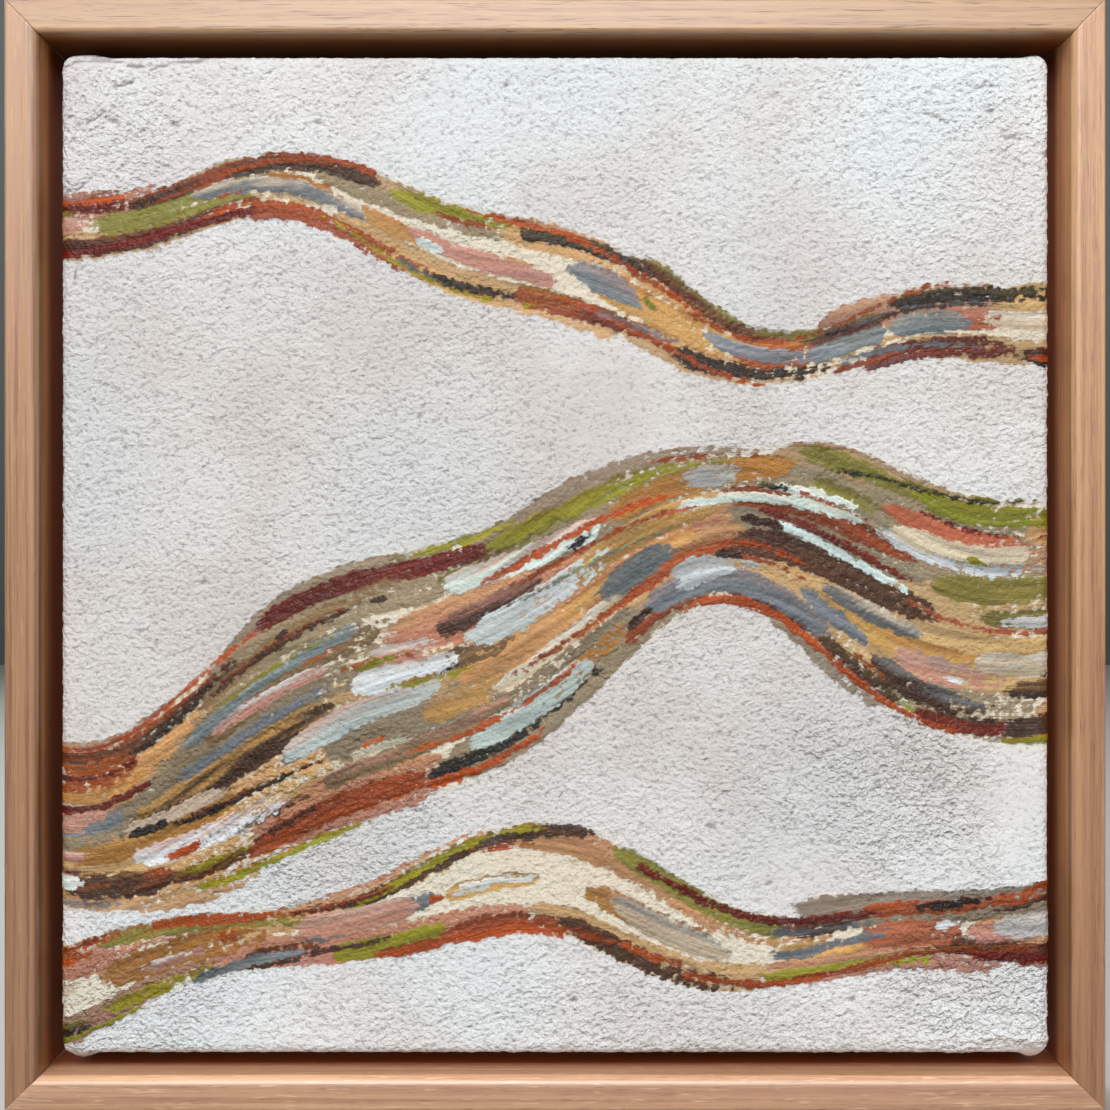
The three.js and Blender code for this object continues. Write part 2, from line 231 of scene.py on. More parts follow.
def mitred_rail(name, side, section, half_width, half_height, materials, corner_cut=0.0):
    """A rail along one side, mitred at both ends and cut off at its outer corners.

    Its section is given as (distance in from the outer edge, y).
    """
    turns = SIDES[side]
    section = supported(section)
    half_along, half_out = (half_width, half_height) if turns % 2 == 0 else (half_height, half_width)
    full = np.array(section)
    eased = drawn_in(section, MITRE_DROP)
    eased_back = MITRE_SETBACK + MITRE_EASING
    cuts = [(eased, MITRE_SETBACK), (full, eased_back), (full, eased_back + SUPPORT)]
    rings = []
    for end, inwards in ((-1, cuts), (1, cuts[::-1])):
        for outline, setback in inwards:
            along = end * (half_along - np.maximum(outline[:, 0], corner_cut) - setback)
            x, z = turned(along, outline[:, 0] - half_out, turns)
            rings.append(rows_of(x, outline[:, 1], z))
    made = piece(name, np.concatenate(rings), tube_faces(len(rings), len(full)), materials)
    on_inner_wall = (full[:, 0] > WALL_THICKNESS / 2) & (full[:, 1] < LEDGE_Y + SUPPORT)
    inside = np.where(on_inner_wall, full[:, 1] - FACE_Y, 0.0)
    add_layer(made, "inside_depth", np.tile(inside, len(rings)))
    return made


def screw_seats(rail, side):
    """Cuts the two countersunk seats of a side's screws into the back of its rail."""
    turns = SIDES[side]
    half_out = (FRAME_HEIGHT if turns % 2 == 0 else FRAME_WIDTH) / 2
    profile = [(SEAT_FOOT_RADIUS, -SEAT_DEPTH), (SEAT_RADIUS, -SEAT_LIP), (SEAT_RADIUS, SEAT_CUT_PAST)]
    around = np.linspace(0, 2 * math.pi, SEAT_FACETS, endpoint=False)
    for along in (-SCREW_SPACING / 2, SCREW_SPACING / 2):
        x, z = turned(along, SCREW_FROM_EDGE - half_out, turns)
        rings = [rows_of(x + radius * np.cos(around), np.full(SEAT_FACETS, y), z + radius * np.sin(around))
                 for radius, y in profile]
        faces = tube_faces(len(rings), SEAT_FACETS)
        cutter = placed("seat_cutter", closed_mesh("seat_cutter", np.concatenate(rings), faces))
        seat = rail.modifiers.new("screw_seat", "BOOLEAN")
        seat.object = cutter
        cut = bpy.data.meshes.new_from_object(rail.evaluated_get(bpy.context.evaluated_depsgraph_get()))
        rail.modifiers.clear()
        rail.data = cut
        bpy.data.objects.remove(cutter)
    rail.data.set_sharp_from_angle(angle=math.radians(SHARP_ANGLE))


# Noise and the wrapped sheet

def smooth_noise(u, v, size, seed):
    """Gradient noise from about -1 to 1 with lumps of that size, always alike for the same seed."""
    cells = 331
    angles = np.random.default_rng(seed).uniform(0, 2 * math.pi, (cells, cells))
    across, up = u / size, v / size
    column, row = np.floor(across).astype(int), np.floor(up).astype(int)
    across, up = across - column, up - row
    ease_across = across ** 3 * (across * (across * 6 - 15) + 10)
    ease_up = up ** 3 * (up * (up * 6 - 15) + 10)
    total = np.zeros_like(u)
    for right in (0, 1):
        for above in (0, 1):
            angle = angles[(column + right) % cells, (row + above) % cells]
            pull = np.cos(angle) * (across - right) + np.sin(angle) * (up - above)
            share = (ease_across if right else 1 - ease_across) * (ease_up if above else 1 - ease_up)
            total += pull * share
    return total * 1.5


def stepped(value, low, high):
    """0 below low and 1 above high, with a smooth step between."""
    share = np.clip((value - low) / (high - low), 0, 1)
    return share * share * (3 - 2 * share)


CORE_WIDTH = CANVAS_WIDTH / 2 - CANVAS_CORNER
CORE_HEIGHT = CANVAS_HEIGHT / 2 - CANVAS_CORNER
FRONT_FLAT = CANVAS_CORNER - CLOTH_FRONT_ROUND
FRONT_ARC = CLOTH_FRONT_ROUND * math.pi / 2
SIDE_FLAT = CLOTH_BACK_Y - CLOTH_FRONT_Y - CLOTH_FRONT_ROUND - CLOTH_BACK_ROUND
BACK_ARC = CLOTH_BACK_ROUND * math.pi / 2
SIDE_START = FRONT_FLAT + FRONT_ARC
BACK_START = SIDE_START + SIDE_FLAT
HEM_START = BACK_START + BACK_ARC
HEM_END = HEM_START + HEM_BREADTH - CLOTH_BACK_ROUND
GROUND_END = SIDE_START + GROUND_SKIRT

# How far below its start a bulge is full, and how far above the hem it begins to die away
LOBE_ONSET = 3.5
LOBE_FADE = 12.0

Lobe = namedtuple("Lobe", "right up inset half_breadth height start")
# Where the folded corners of the cloth bulge out of the lower and upper sides
LOBES = [
    Lobe(-1, -1, 5.0, 7.0, 2.3, 1.0),
    Lobe(1, -1, 3.5, 6.0, 2.2, 1.0),
    Lobe(-1, 1, 6.0, 9.0, 1.3, 0.0),
    Lobe(1, 1, 3.0, 5.0, 1.2, 0.0),
]


def edge_profile(reach):
    """How the cloth runs on from the core's edge: (distance out, depth, turn from facing the viewer)."""
    front_turn = np.clip((reach - FRONT_FLAT) / CLOTH_FRONT_ROUND, 0, math.pi / 2)
    side_run = np.clip(reach - SIDE_START, 0, SIDE_FLAT)
    back_turn = np.clip((reach - BACK_START) / CLOTH_BACK_ROUND, 0, math.pi / 2)
    hem_run = np.maximum(reach - HEM_START, 0)
    out = (np.minimum(reach, FRONT_FLAT) + CLOTH_FRONT_ROUND * np.sin(front_turn)
           - CLOTH_BACK_ROUND * (1 - np.cos(back_turn)) - hem_run)
    depth = CLOTH_FRONT_ROUND * (1 - np.cos(front_turn)) + side_run + CLOTH_BACK_ROUND * np.sin(back_turn)
    return out, depth, front_turn + back_turn


def wrapped(u, v, height):
    """Places on the stretched cloth, of flat places u across and v up, raised by a height off the cloth."""
    past_u, past_v = np.abs(u) - CORE_WIDTH, np.abs(v) - CORE_HEIGHT
    reach = np.maximum(np.maximum(past_u, past_v), 0)
    out, depth, turn = edge_profile(reach)
    corner = np.where(reach > BACK_START, np.maximum(out, HEM_CORNER), out)
    shift = out - corner
    in_corner = (past_u > 0) & (past_v > 0)
    from_side = past_v / np.maximum(past_u, TINY)
    from_head = 2 - past_u / np.maximum(past_v, TINY)
    share = np.where(past_u >= past_v, from_side, from_head)
    angle = np.where(in_corner, share * math.pi / 4, np.where(past_u > 0, 0.0, math.pi / 2))
    right, up = np.cos(angle), np.sin(angle)
    outside = reach > 0
    core_x = np.where(past_u > 0, CORE_WIDTH + shift, np.abs(u) * (CORE_WIDTH + shift) / CORE_WIDTH)
    core_z = np.where(past_v > 0, CORE_HEIGHT + shift, np.abs(v) * (CORE_HEIGHT + shift) / CORE_HEIGHT)
    level = height * np.sin(turn)
    x = np.where(outside, core_x + right * (corner + level), np.abs(u))
    z = np.where(outside, core_z + up * (corner + level), np.abs(v))
    y = CLOTH_FRONT_Y + depth - height * np.cos(turn)
    bulge = np.zeros_like(u)
    for lobe in LOBES:
        off = (np.sign(u) * lobe.right * x - (CANVAS_WIDTH / 2 - lobe.inset)) / lobe.half_breadth
        swell = np.clip(1 - off ** 2, 0, 1) ** 1.5
        onset = (stepped(depth, lobe.start, lobe.start + LOBE_ONSET)
                 * stepped(HEM_START - reach, 0, LOBE_FADE))
        here = outside * (np.sign(v) == lobe.up) * (np.sign(u) == lobe.right)
        bulge += lobe.height * swell * onset * up * here
    return np.where(u < 0, -x, x), y, np.where(v < 0, -1, 1) * (z + bulge)


def lines_over(half_core, reaches, spacing):
    """Where a wrapped grid's lines lie, from one end to the other, with chosen ones past the core's edge."""
    count = max(2, int(round(2 * half_core / spacing)))
    core = np.linspace(-half_core, half_core, count + 1)
    past = half_core + np.array(reaches)
    return np.concatenate([-past[::-1], core, past])


def grid_faces(rows, columns, start=0, flipped=False):
    """Quads of a grid of points that run along its rows."""
    first = (np.arange(rows - 1)[:, None] * columns + np.arange(columns - 1)).ravel() + start
    quads = np.stack([first, first + 1, first + columns + 1, first + columns], axis=1)
    return quads[:, ::-1] if flipped else quads


def rim_of(rows, columns):
    """The places round a grid's rim, anticlockwise as the viewer sees them."""
    return np.concatenate([
        np.arange(columns - 1),
        np.arange(rows - 1) * columns + columns - 1,
        (rows - 1) * columns + np.arange(columns - 1, 0, -1),
        np.arange(rows - 1, 0, -1) * columns,
    ])


# The generic painted design: bands of long brush strokes that flow across the canvas

Band = namedtuple("Band", "level rise waves half_width swell seed")
BANDS = [
    Band(-30, 0.16, ((24, 330, 45), (7, 132, -20)), 29, 7, 21),
    Band(86, -0.10, ((15, 290, 150), (4, 96, 10)), 9, 3, 22),
    Band(-113, 0.05, ((12, 250, 90), (4, 110, 30)), 11, 4, 23),
]

Paint = namedtuple("Paint", "tone body gloss")
# Each paint's colour, its thickness in mm and its roughness
PAINTS = {
    "terracotta": Paint((0.72, 0.39, 0.25), 0.05, 0.42),
    "honey": Paint((0.82, 0.63, 0.35), 0.05, 0.42),
    "taupe": Paint((0.52, 0.43, 0.29), 0.06, 0.38),
    "rust": Paint((0.65, 0.29, 0.10), 0.08, 0.28),
    "maroon": Paint((0.40, 0.08, 0.04), 0.08, 0.28),
    "blush": Paint((0.79, 0.57, 0.50), 0.10, 0.38),
    "moss": Paint((0.55, 0.53, 0.22), 0.10, 0.34),
    "slate": Paint((0.47, 0.51, 0.53), 0.12, 0.38),
    "cream": Paint((0.91, 0.83, 0.71), 0.15, 0.42),
    "ochre": Paint((0.80, 0.54, 0.22), 0.10, 0.34),
    "olive": Paint((0.60, 0.59, 0.09), 0.10, 0.34),
    "mint": Paint((0.87, 0.91, 0.90), 0.18, 0.42),
    "ember": Paint((0.71, 0.30, 0.06), 0.10, 0.26),
    "umber": Paint((0.27, 0.16, 0.11), 0.08, 0.30),
    "charcoal": Paint((0.07, 0.07, 0.08), 0.12, 0.28),
}
WASHES = ("terracotta", "honey", "taupe", "ochre", "honey")
EDGES = ("rust", "maroon", "umber", "olive", "rust", "moss", "charcoal")
FIELDS = ("rust", "taupe", "moss", "ochre", "terracotta", "slate", "umber", "blush", "honey")
LIGHTS = ("mint", "cream", "mint", "blush", "slate", "cream", "mint")
LINES = ("ember", "maroon", "charcoal", "rust", "olive", "ember", "slate", "umber")
TOUCHES = ("charcoal", "ember", "mint", "umber", "olive")

# How much of what lies under each coat of paint it hides, from the lowest coat to the highest
COATS = {"wash": 0.82, "field": 0.95, "light": 0.95, "line": 0.97, "touch": 1.0}

# The bare ground's roughness, and in mm how far strokes' edges wobble, how far strokes run on past the
# canvas, and how far round a stroke its paint is worked out
BARE_GLOSS = 0.85
EDGE_WOBBLE = 0.55
STROKE_OVERRUN = 20.0
STROKE_MARGIN = 6.0

Stroke = namedtuple("Stroke", "coat paint tone side_tone start length offset slope bend half_width blunt dry")
Lay = namedtuple("Lay", "coat paints spread tracks lengths half_widths gaps wander blunt dry")


def band_lays(band):
    """What is laid along a band: for each coat its paints, tracks, sizes and dryness."""
    tracks = max(3, int(round(band.half_width / 4.0)))
    few = max(1, tracks - 2)
    washes = max(2, tracks - 2)
    broad = (0.20 * band.half_width + 2, 0.26 * band.half_width + 3)
    return [
        Lay("wash", WASHES, 0.78, washes, (50, 120), broad, (-18, -6), 0.06, (2.4, 5.0), (0.3, 0.9)),
        Lay("field", EDGES, 0.88, 2, (24, 80), (2.0, 3.8), (-8, 6), 0.06, (1.4, 3.6), (0.1, 0.9)),
        Lay("field", FIELDS, 0.66, few, (22, 66), (2.2, 4.8), (-6, 18), 0.09, (1.3, 3.4), (0.1, 1.0)),
        Lay("light", LIGHTS, 0.60, few, (18, 58), (1.6, 4.6), (2, 34), 0.14, (1.4, 3.6), (0.0, 1.0)),
        Lay("line", LINES, 1.0, 2, (26, 90), (0.8, 1.7), (4, 44), 0.05, (4.0, 9.0), (0.0, 0.7)),
        Lay("line", LINES, 0.74, tracks - 1, (14, 60), (0.6, 1.4), (18, 80), 0.12, (3.0, 9.0), (0.0, 0.7)),
        Lay("touch", TOUCHES, 0.7, few, (4, 13), (0.8, 1.7), (50, 150), 0.22, (1.3, 3.0), (0.0, 0.3)),
    ]


def band_centre(band, x):
    """Height of a band's middle line above the canvas's middle."""
    height = band.level + band.rise * x
    for size, length, shift in band.waves:
        height = height + size * np.sin(2 * math.pi * (x + shift) / length)
    return height


def band_half_width(band, x):
    """Half the breadth of a band, measured across its flow."""
    return band.half_width + band.swell * np.sin(2 * math.pi * (x + 3 * band.level) / 190)


def new_stroke(rng, lay, start, offset):
    """A stroke of a lay, with chance in its length, place, shape and two colours."""
    length = rng.uniform(*lay.lengths)
    paint, other = (PAINTS[lay.paints[pick]] for pick in rng.integers(len(lay.paints), size=2))
    shift = rng.uniform(0.94, 1.06, 3) * rng.uniform(0.55, 1.0)
    other_share = rng.uniform(0.0, 0.75)
    tone = np.array(linear(paint.tone)[:3]) * shift
    side_tone = tone * (1 - other_share) + np.array(linear(other.tone)[:3]) * other_share
    return Stroke(
        lay.coat, paint, tone, side_tone, start, length, offset=offset + rng.uniform(-lay.wander, lay.wander),
        slope=rng.uniform(-0.09, 0.09), bend=rng.uniform(-0.0012, 0.0012),
        half_width=rng.uniform(*lay.half_widths), blunt=rng.uniform(*lay.blunt), dry=rng.uniform(*lay.dry))


def band_strokes(band):
    """The strokes of one band, from its washes to its fine lines and touches."""
    rng = np.random.default_rng(band.seed)
    reach = CANVAS_WIDTH / 2 + STROKE_OVERRUN
    strokes = []
    for lay in band_lays(band):
        for offset in np.linspace(-lay.spread, lay.spread, lay.tracks) if lay.tracks > 1 else (0.0,):
            x = -reach - rng.uniform(0, lay.lengths[1])
            while x < reach:
                strokes.append(new_stroke(rng, lay, x, offset))
                x += strokes[-1].length + rng.uniform(*lay.gaps)
    return strokes


def stroke_shape(stroke, run, off, half, wobble, streaks, stipple):
    """A stroke about its middle: how far places lie aside and within it, how thin it is and its level."""
    aside = off - (stroke.offset * half + stroke.slope * run + stroke.bend * run ** 2)
    cap = min(stroke.blunt * stroke.half_width, stroke.length / 2)
    beyond = np.maximum(np.abs(run) - (stroke.length / 2 - cap), 0) / cap
    reach = stroke.half_width * (1 - np.hypot(aside / stroke.half_width, beyond)) + wobble
    along = np.clip(run / stroke.length + 0.5, 0, 1)
    thin = stroke.dry * (0.25 + 1.25 * along ** 2)
    level = np.clip(reach, -2, 1.0) - thin + (0.15 + 0.4 * thin) * streaks + (0.2 + 1.1 * thin) * stipple
    return aside, reach, thin, level


def painted_design(u, v, stipple):
    """Each coat's colours and levels, above 0 where it covers, and the paint's flow, gloss and thickness."""
    tones = {coat: np.full(u.shape + (3,), 0.5) for coat in COATS}
    levels = {coat: np.full(u.shape, -2.0) for coat in COATS}
    nearest = {coat: np.full(u.shape, -99.0) for coat in COATS}
    gloss = np.full(u.shape, BARE_GLOSS)
    body = np.zeros(u.shape)
    across = np.full(u.shape, 99.0)
    halo = np.full(u.shape, -30.0)
    wobble = EDGE_WOBBLE * (smooth_noise(u, v, 3.2, 72) + 0.8 * smooth_noise(u, v, 9.0, 73))
    for band in BANDS:
        centre = band_centre(band, u)
        off = (v - centre) / np.hypot(1, (band_centre(band, u + 0.5) - centre) / 0.5)
        half = band_half_width(band, u)
        across = np.where(np.abs(off) < np.abs(across), off, across)
        halo = np.maximum(halo, half - np.abs(off))
        streaks = smooth_noise(u / 13, off, 1.25, 71)
        for stroke in band_strokes(band):
            middle, room = stroke.start + stroke.length / 2, stroke.length / 2 + STROKE_MARGIN
            part = (slice(None), slice(*np.searchsorted(u[0], (middle - room, middle + room))))
            local = (values[part] for values in (off, half, wobble, streaks, stipple))
            aside, reach, thin, level = stroke_shape(stroke, u[part] - middle, *local)
            tone, highest, near = (values[stroke.coat][part] for values in (tones, levels, nearest))
            lies = stepped(level, -0.4, 0.3)
            shown = np.maximum(lies, reach > near)[..., None]
            side = stepped(aside / stroke.half_width + streaks[part], -0.2, 0.9)[..., None]
            brushed = stroke.tone * (1 - side) + stroke.side_tone * side
            brushed = brushed * (1 + 0.10 * streaks[part])[..., None]
            tone[:] = tone * (1 - shown) + brushed * shown
            near[:] = np.maximum(near, reach)
            highest[:] = np.maximum(highest, level)
            gloss[part] = gloss[part] * (1 - lies) + (stroke.paint.gloss + 0.15 * stroke.dry) * lies
            ridge = 1 + 0.7 * np.exp(-((reach - 0.6) / 0.5) ** 2) + 0.5 * streaks[part]
            body[part] = body[part] * (1 - 0.3 * lies) + stroke.paint.body * ridge * lies / (1 + 2 * thin)
    flows = dict(flow_along=u, flow_across=across, halo_reach=halo, paint_gloss=gloss, paint_body=body)
    return tones, levels, flows


# The ground

# Where the texture paste lies rougher than elsewhere: (x, z, breadth, height, strength) of each patch
ROUGH_PATCHES = [
    (132, -132, 40, 34, 1.0),
    (102, -72, 34, 30, 0.8),
    (-84, -78, 48, 34, 0.8),
    (-132, -136, 36, 22, 0.8),
    (-136, 128, 26, 26, 0.4),
    (132, 124, 34, 32, 0.25),
    (20, -142, 80, 16, 0.35),
]
# Where it was smoothed out
SMOOTH_PATCHES = [
    (20, 52, 34, 40, 0.6),
    (74, -98, 22, 16, 0.7),
    (142, -70, 13, 26, 0.9),
    (-20, 132, 44, 16, 0.35),
    (142, -151, 15, 3.2, 1.8),
]

# Creases, scratches and ridges in the paste: the places that each runs along, its breadth and its height
MARKS = [
    ([(-149, 149.2), (-144, 150.6), (-137, 150.8), (-131, 149.9), (-126, 148.6)], 0.85, -0.9),
    ([(-124, 148.4), (-119, 148.9), (-114, 150.2), (-106, 150.6)], 0.8, -0.7),
    ([(-128.5, 148.2), (-126, 145.5), (-122.5, 144.2)], 0.75, -0.4),
    ([(-139.5, 128.3), (-136.7, 129.8), (-130.9, 137.7), (-125.2, 146.3)], 0.7, -0.35),
    ([(-138, 124), (-131, 131), (-126, 139.5)], 0.8, 0.5),
    ([(-134.0, 143.0), (-131.5, 143.1), (-129.0, 144.4)], 1.0, -1.0),
    ([(-142.4, 131.9), (-139.5, 133.4), (-137.6, 135.2)], 0.8, -0.8),
    ([(-137.0, 133.6), (-134.0, 132.6)], 1.3, -1.1),
    ([(-149, 110.8), (-145.5, 111.4), (-142.8, 113.6)], 0.85, -0.8),
    ([(-147, 82), (-146.3, 85.2), (-144.9, 88.4)], 0.8, -0.6),
    ([(-116.6, 131.8), (-115.0, 131.2)], 1.2, -1.1),
    ([(-131.7, -59.7), (-126.7, -60.1), (-121.3, -61.6), (-117, -61.2), (-107.3, -59), (-91.8, -59.6)],
     0.8, 0.6),
    ([(131.5, -146.6), (137.5, -146.2), (142.1, -147.4), (150.5, -147.8)], 1.0, 1.0),
    ([(76, 148), (84, 141), (96, 134)], 0.6, 0.35),
    ([(125, 143.6), (129.5, 142.6), (134, 142.9)], 0.8, -0.7),
    ([(112.6, 134.8), (116.5, 133.5), (120.2, 131.4)], 0.8, -0.55),
    ([(136.3, 127.8), (142, 126.9)], 0.8, -0.8),
    ([(132, 135.7), (133.2, 135.5)], 1.1, -1.0),
]

# The stipple's height and sag in mm, how much calmer the canvas's edges are, and how many spots there are
STIPPLE_HEIGHT = 0.62
STIPPLE_SAG = 0.6
EDGE_CALM = 0.5
SPOTS = 420

# How far round a spot or mark the ground is worked on, and the heights under which they get painted shade
MARK_MARGIN = 5.0
SPOT_SHADE_BELOW = -0.56
MARK_SHADE_BELOW = -0.5


def patch_total(patches, u, v):
    """How far places lie in the patches, from 0 outside them to a patch's strength."""
    edge = 0.35 * smooth_noise(u, v, 17, 31)
    total = np.zeros_like(u)
    for x, z, breadth, height, strength in patches:
        distance = np.hypot((u - x) / breadth, (v - z) / height)
        total = np.maximum(total, strength * stepped(1.25 - distance + edge, 0, 0.9))
    return total


def paste_roughness(u, v):
    """How rough the paste lies at each place, about 0.85 away from the patches."""
    broad = 0.16 * smooth_noise(u, v, 38, 32)
    return 0.85 + broad + patch_total(ROUGH_PATCHES, u, v) - 0.6 * patch_total(SMOOTH_PATCHES, u, v)


def tilted_lumps(u, v, sizes):
    """Noise whose lumps lie along the slanting sweep of the trowel, which turns from place to place."""
    turning = stepped(smooth_noise(u, v, 75, 48), -0.3, 0.3)
    total = np.zeros_like(u)
    for tilt, share, shift in ((STIPPLE_TILTS[0], turning, 0), (STIPPLE_TILTS[1], 1 - turning, 10)):
        along = u * math.cos(tilt) + v * math.sin(tilt)
        across = v * math.cos(tilt) - u * math.sin(tilt)
        for size, length, weight, seed in sizes:
            total += np.sqrt(share) * weight * smooth_noise(along / length, across, size, seed + shift)
    return total


def paste_stipple(u, v):
    """The stipple that the trowel left, from about -1 to 1, whose lumps sag and are steeper below."""
    sizes = ((1.9, 1.05, 1.0, 43), (3.1, 1.3, 0.5, 44))
    return tilted_lumps(u, v + STIPPLE_SAG * tilted_lumps(u, v, sizes), sizes)


def window(u, v, low, high):
    """The part of a flat grid close round the box between two places."""
    rows = np.searchsorted(v[:, 0], (low[1] - MARK_MARGIN, high[1] + MARK_MARGIN))
    columns = np.searchsorted(u[0], (low[0] - MARK_MARGIN, high[0] + MARK_MARGIN))
    return slice(*rows), slice(*columns)


def add_spots(u, v, height, dent):
    """Puts single lumps and pits into the paste's height, and painted shade into the deepest pits."""
    rng = np.random.default_rng(61)
    for _ in range(SPOTS):
        x, z = rng.uniform(-1, 1) * CANVAS_WIDTH / 2, rng.uniform(-1, 1) * CANVAS_HEIGHT / 2
        size, length, tilt = rng.uniform(0.7, 1.5), rng.uniform(1.1, 2.2), rng.uniform(-0.2, 0.7)
        rise = rng.choice((0.6, 0.45, -0.45, -0.6)) * rng.uniform(0.6, 1.1)
        part = window(u, v, (x, z), (x, z))
        right, up = u[part] - x, v[part] - z
        along = (right * math.cos(tilt) + up * math.sin(tilt)) / length
        across = up * math.cos(tilt) - right * math.sin(tilt)
        spot = np.exp(-(along ** 2 + across ** 2) / size ** 2)
        height[part] += rise * spot
        if rise < SPOT_SHADE_BELOW:
            dent[part] = np.maximum(dent[part], spot)


def add_marks(u, v, height, dent):
    """Puts the creases, scratches and ridges into the paste's height, and painted shade into the deep ones,
    with shaken lines.
    """
    shaken_u, shaken_v = u + 0.7 * smooth_noise(u, v, 3.5, 62), v + 0.7 * smooth_noise(u, v, 3.5, 63)
    for places, breadth, rise in MARKS:
        part = window(u, v, np.min(places, axis=0), np.max(places, axis=0))
        away = np.full(u[part].shape, 9.0)
        for (x0, z0), (x1, z1) in zip(places, places[1:]):
            right, up = shaken_u[part] - x0, shaken_v[part] - z0
            share = np.clip((right * (x1 - x0) + up * (z1 - z0)) / ((x1 - x0) ** 2 + (z1 - z0) ** 2), 0, 1)
            away = np.minimum(away, np.hypot(right - share * (x1 - x0), up - share * (z1 - z0)))
        line = np.exp(-(away / breadth) ** 2)
        height[part] = height[part] * (1 - 0.7 * line) + rise * line
        if rise < MARK_SHADE_BELOW:
            dent[part] = np.maximum(dent[part], line)


def paste_relief(u, v, rough, stipple):
    """Height of the texture paste in mm above its mean, and the painted shade in its deep dents, from 0 to 1.
    """
    trowel = 0.12 * smooth_noise(u, v, 46, 41) + 0.08 * smooth_noise(u / 2, v, 13, 42)
    gathered = 0.88 + 0.85 * np.clip(smooth_noise(u, v, 8.5, 49), -0.55, 0.7)
    fine = STIPPLE_HEIGHT * np.where(stipple > 0, 1.1 * stipple, 0.8 * stipple)
    fine = fine * (0.3 + 0.7 * np.minimum(rough, 1.5)) * gathered
    crust = tilted_lumps(u, v, ((3.3, 1.5, 1.0, 46), (1.9, 1.3, 0.5, 47)))
    heavy = np.clip(rough - 0.9, 0, 1)
    height = trowel + fine + heavy * (0.75 * np.sqrt(np.maximum(crust, 0)) + 0.35 * np.minimum(crust, 0))
    dent = np.zeros_like(u)
    add_spots(u, v, height, dent)
    add_marks(u, v, height, dent)
    return height, dent


def ground_height(u, v, rough, stipple, body):
    """Height of the painted ground above the cloth, which fades out down the sides, and the painted shade in
    its dents.
    """
    past = np.maximum(np.abs(u) - CORE_WIDTH, np.abs(v) - CORE_HEIGHT)
    fading = 1 - stepped(past, SIDE_START - 1, GROUND_END)
    covering = (1 - 0.4 * stepped(body, 0.03, 0.2)) * (1 - EDGE_CALM * stepped(past, -1.5, FRONT_FLAT + 1))
    relief, dent = paste_relief(u, v, rough, stipple)
    relief = np.maximum(relief * covering, PASTE_LEAST - PASTE_THICKNESS)
    height = PASTE_RIM + fading * (PASTE_THICKNESS - PASTE_RIM + relief + body)
    return np.maximum(height, GROUND_LEAST), dent


def brought_back(flat, core, share):
    """Flat places, of which those past the core's edge keep only a share of their way out."""
    return np.where(np.abs(flat) > core, np.sign(flat) * (core + (np.abs(flat) - core) * share), flat)


def stretched_ground(material):
    """The texture paste and paint on the front of the canvas, wrapped over its edges and closed behind."""
    bend = FRONT_FLAT + FRONT_ARC * np.array([0.3, 0.62, 1.0])
    reaches = np.concatenate([[FRONT_FLAT], bend, SIDE_START + GROUND_SKIRT * np.array([0.3, 0.65, 1.0])])
    u, v = np.meshgrid(lines_over(CORE_WIDTH, reaches, GROUND_SPACING_ACROSS),
                       lines_over(CORE_HEIGHT, reaches, GROUND_SPACING_UP))
    rough = paste_roughness(u, v)
    stipple = paste_stipple(u, v)
    tones, levels, flows = painted_design(u, v, stipple)
    height, dent = ground_height(u, v, rough, stipple, flows["paint_body"])
    points = [rows_of(*wrapped(u, v, height))]
    faces = list(grid_faces(*u.shape))
    rim = rim_of(*u.shape)
    shares = (1.0, SIDE_START / GROUND_END, FRONT_FLAT / GROUND_END)
    spare = len(shares) * len(rim)
    previous = rim
    for ring, share in zip(u.size + np.arange(spare).reshape(-1, len(rim)), shares):
        back_u = brought_back(u.ravel()[rim], CORE_WIDTH, share)
        back_v = brought_back(v.ravel()[rim], CORE_HEIGHT, share)
        points.append(rows_of(*wrapped(back_u, back_v, np.full(rim.shape, GROUND_BACK))))
        faces.extend(band_faces(previous, ring)[:, ::-1])
        previous = ring
    faces.append(previous[::-1])
    made = piece("painted_paste", np.concatenate(points), faces, [material], sharp=180)
    numbers = {"level_" + coat: level for coat, level in levels.items()}
    numbers.update(flows, paste_rough=rough, paste_dent=dent)
    for name, values in numbers.items():
        add_layer(made, name, values, spare=spare)
    for coat, tone in tones.items():
        add_layer(made, "tone_" + coat, tone, "FLOAT_VECTOR", "vector", 3 * spare)
    map_flat(made, u, v, spare)
    return made


def map_flat(made, u, v, spare):
    """A flat UV map of the wrapped grid, with the hidden back in a small corner of it."""
    half = max(u.max(), v.max())
    flat = np.stack([0.5 + 0.49 * u.ravel() / half, 0.5 + 0.49 * v.ravel() / half], axis=1)
    flat = np.concatenate([flat, np.full((spare, 2), 0.003)])
    layer = made.data.uv_layers.new(name="OFBake")
    corners = np.zeros(len(made.data.loops), np.int32)
    made.data.loops.foreach_get("vertex_index", corners)
    layer.data.foreach_set("uv", flat[corners].astype(np.float32).ravel())


# The cloth and its bars

